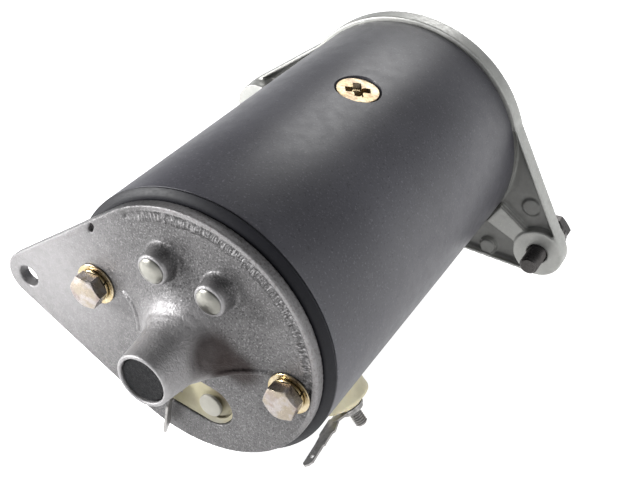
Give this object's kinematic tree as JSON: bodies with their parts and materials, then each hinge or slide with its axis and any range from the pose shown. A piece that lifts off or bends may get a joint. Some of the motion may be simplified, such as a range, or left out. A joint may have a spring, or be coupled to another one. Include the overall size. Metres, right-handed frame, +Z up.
{
  "type": "dynamo",
  "caption": "Two-pole belt-driven direct-current generator for a car, with a painted steel yoke, cast end brackets with mounting lugs, and a keyed shaft.",
  "frame": {"origin": "centre of the flat end face of the shaft at the drive end", "axes": "+Y along the shaft, out of the drive end; +Z up as the machine lies on its flange and adjusting lug; +X to the right, towards the adjusting lug"},
  "size_m": [0.1563, 0.2283, 0.1088],
  "materials": {
    "dark_grey_paint": "satin",
    "cast_aluminium": "as cast",
    "black_rubber": "matte",
    "yellow_zinc": "yellow passivated",
    "bright_steel": "bright",
    "black_oxide": "black oxide",
    "laminated_iron": "plain",
    "copper": "varnished",
    "coil_tape": "varnished cotton tape",
    "sintered_bronze": "porous",
    "oil_felt": "oiled felt",
    "red_fibre": "matte",
    "dark_moulding": "moulded",
    "insulating_sheet": "translucent sheet",
    "cream_moulding": "moulded",
    "tinned_brass": "tinned",
    "brush_carbon": "carbon"
  },
  "bodies": {
    "frame": {"yoke": "dark_grey_paint", "sealing_ring": "black_rubber", "commutator_end_bracket": "cast_aluminium", "drive_end_bracket": "cast_aluminium", "nose_plug": "black_rubber", "bush_felt_ring": "oil_felt", "commutator_end_bush": "sintered_bronze", "drive_end_felt_ring": "oil_felt", "bearing_circlip": "bright_steel", "bearing_outer_race": "bright_steel", "pole_shoe_upper": "laminated_iron", "pole_shoe_lower": "laminated_iron", "field_coil_upper": "coil_tape", "field_coil_lower": "coil_tape", "pole_screw_upper": "yellow_zinc", "pole_screw_lower": "yellow_zinc", "adjuster_bolt": "black_oxide", "adjuster_bolt_washer": "black_oxide", "brush_box_earthed": "bright_steel", "brush_box_insulated": "bright_steel", "brush_insulator_plate": "insulating_sheet", "output_terminal_blade": "tinned_brass", "terminal_block": "cream_moulding", "field_terminal_blade": "tinned_brass", "terminal_stud": "yellow_zinc", "terminal_washer": "yellow_zinc", "through_bolt_left": "yellow_zinc", "through_bolt_spring_washer_left": "yellow_zinc", "through_bolt_plain_washer_left": "yellow_zinc", "brush_box_rivet_upper_left": "bright_steel", "brush_box_rivet_lower_left": "bright_steel", "through_bolt_right": "yellow_zinc", "through_bolt_spring_washer_right": "yellow_zinc", "through_bolt_plain_washer_right": "yellow_zinc", "brush_box_rivet_upper_right": "bright_steel", "brush_box_rivet_lower_right": "bright_steel"},
    "armature": {"shaft": "bright_steel", "woodruff_key": "bright_steel", "armature_core": "laminated_iron", "armature_windings": "copper", "commutator": "copper", "commutator_hub": "dark_moulding", "thrust_washer": "red_fibre", "bearing_inner_race": "bright_steel", "pulley_spacing_collar": "bright_steel", "pulley_nut_spring_washer": "yellow_zinc", "pulley_nut": "yellow_zinc"},
    "bearing_cage": {"bearing_cage": "sintered_bronze", "bearing_ball_1": "bright_steel", "bearing_ball_2": "bright_steel", "bearing_ball_3": "bright_steel", "bearing_ball_4": "bright_steel", "bearing_ball_5": "bright_steel", "bearing_ball_6": "bright_steel", "bearing_ball_7": "bright_steel", "bearing_ball_8": "bright_steel"},
    "brush_earthed": {"brush_earthed": "brush_carbon"},
    "brush_insulated": {"brush_insulated": "brush_carbon"},
    "spring_earthed": {"brush_spring_earthed": "bright_steel"},
    "spring_insulated": {"brush_spring_insulated": "bright_steel"}
  },
  "joints": [
    {"name": "armature_spin", "type": "hinge", "parent": "frame", "child": "armature", "pos_m": [0, 0, 0], "axis": [0, 1, 0], "continuous": true},
    {"name": "bearing_cage_spin", "type": "hinge", "parent": "frame", "child": "bearing_cage", "pos_m": [0, -0.0498, 0], "axis": [0, 1, 0], "continuous": true},
    {"name": "brush_slide_earthed", "type": "slide", "parent": "frame", "child": "brush_earthed", "axis": [0.2181, 0, 0.9759], "range_m": [0, 0.005], "stiffness_N_per_m": 300, "springref_m": -0.02},
    {"name": "brush_slide_insulated", "type": "slide", "parent": "frame", "child": "brush_insulated", "axis": [-0.2181, 0, -0.9759], "range_m": [0, 0.005], "stiffness_N_per_m": 300, "springref_m": -0.02},
    {"name": "brush_spring_swing_earthed", "type": "hinge", "parent": "frame", "child": "spring_earthed", "pos_m": [0.01816, -0.1768, 0.03539], "axis": [0, 1, 0], "range_deg": [0, 38]},
    {"name": "brush_spring_swing_insulated", "type": "hinge", "parent": "frame", "child": "spring_insulated", "pos_m": [-0.01816, -0.1768, -0.03539], "axis": [0, 1, 0], "range_deg": [0, 38]}
  ],
  "couplings": [
    {"joint": "bearing_cage_spin", "follows": "armature_spin", "ratio": 0.3818},
    {"joint": "brush_spring_swing_earthed", "follows": "brush_slide_earthed", "rad_per_m": 131},
    {"joint": "brush_spring_swing_insulated", "follows": "brush_slide_insulated", "rad_per_m": 131}
  ]
}
